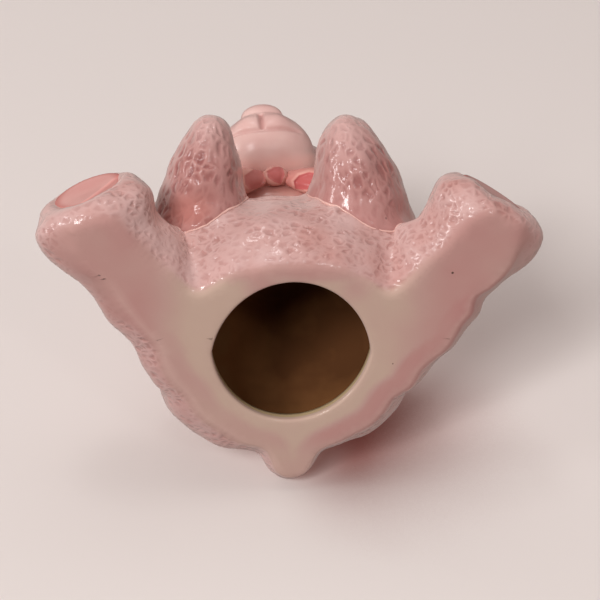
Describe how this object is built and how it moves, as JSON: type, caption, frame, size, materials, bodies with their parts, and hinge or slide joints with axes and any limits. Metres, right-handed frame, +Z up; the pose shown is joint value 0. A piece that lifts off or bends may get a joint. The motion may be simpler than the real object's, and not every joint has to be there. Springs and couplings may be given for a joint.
{
  "type": "bear figurine",
  "caption": "Seated glazed-ceramic bear with splayed legs, arms held forward, a neck bow and a smooth flat base with an open pour hole into the hollow body.",
  "frame": {"origin": "middle of the figure's outer box, on the plane that the base stands on", "axes": "+Z up; the face, paws and soles look towards -Y and the tail towards +Y; +X is the bear's own left"},
  "size_m": [0.1232, 0.091, 0.1105],
  "materials": {
    "pink_glaze": "pink gloss glaze over a stippled fur texture, paler on the ridges",
    "cream_glaze": "smooth cream-pink gloss glaze",
    "blush_glaze": "smooth deeper pink gloss glaze",
    "rose_glaze": "rose gloss glaze, paler where it breaks over edges",
    "dark_glaze": "dark brown gloss glaze"
  },
  "bodies": {
    "root": {"base_plate": "cream_glaze", "torso_shell": "pink_glaze", "left_leg": "pink_glaze", "right_leg": "pink_glaze", "left_sole_pad": "blush_glaze", "right_sole_pad": "blush_glaze", "left_arm": "pink_glaze", "right_arm": "pink_glaze", "tail": "pink_glaze", "neck_ribbon": "rose_glaze", "bow_knot": "rose_glaze", "left_bow_loop": "rose_glaze", "right_bow_loop": "rose_glaze", "head_shell": "pink_glaze", "muzzle": "pink_glaze", "nose": "blush_glaze", "left_eye": "dark_glaze", "right_eye": "dark_glaze", "left_ear": "pink_glaze", "right_ear": "pink_glaze", "left_ear_inlay": "blush_glaze", "right_ear_inlay": "blush_glaze"}
  },
  "joints": []
}
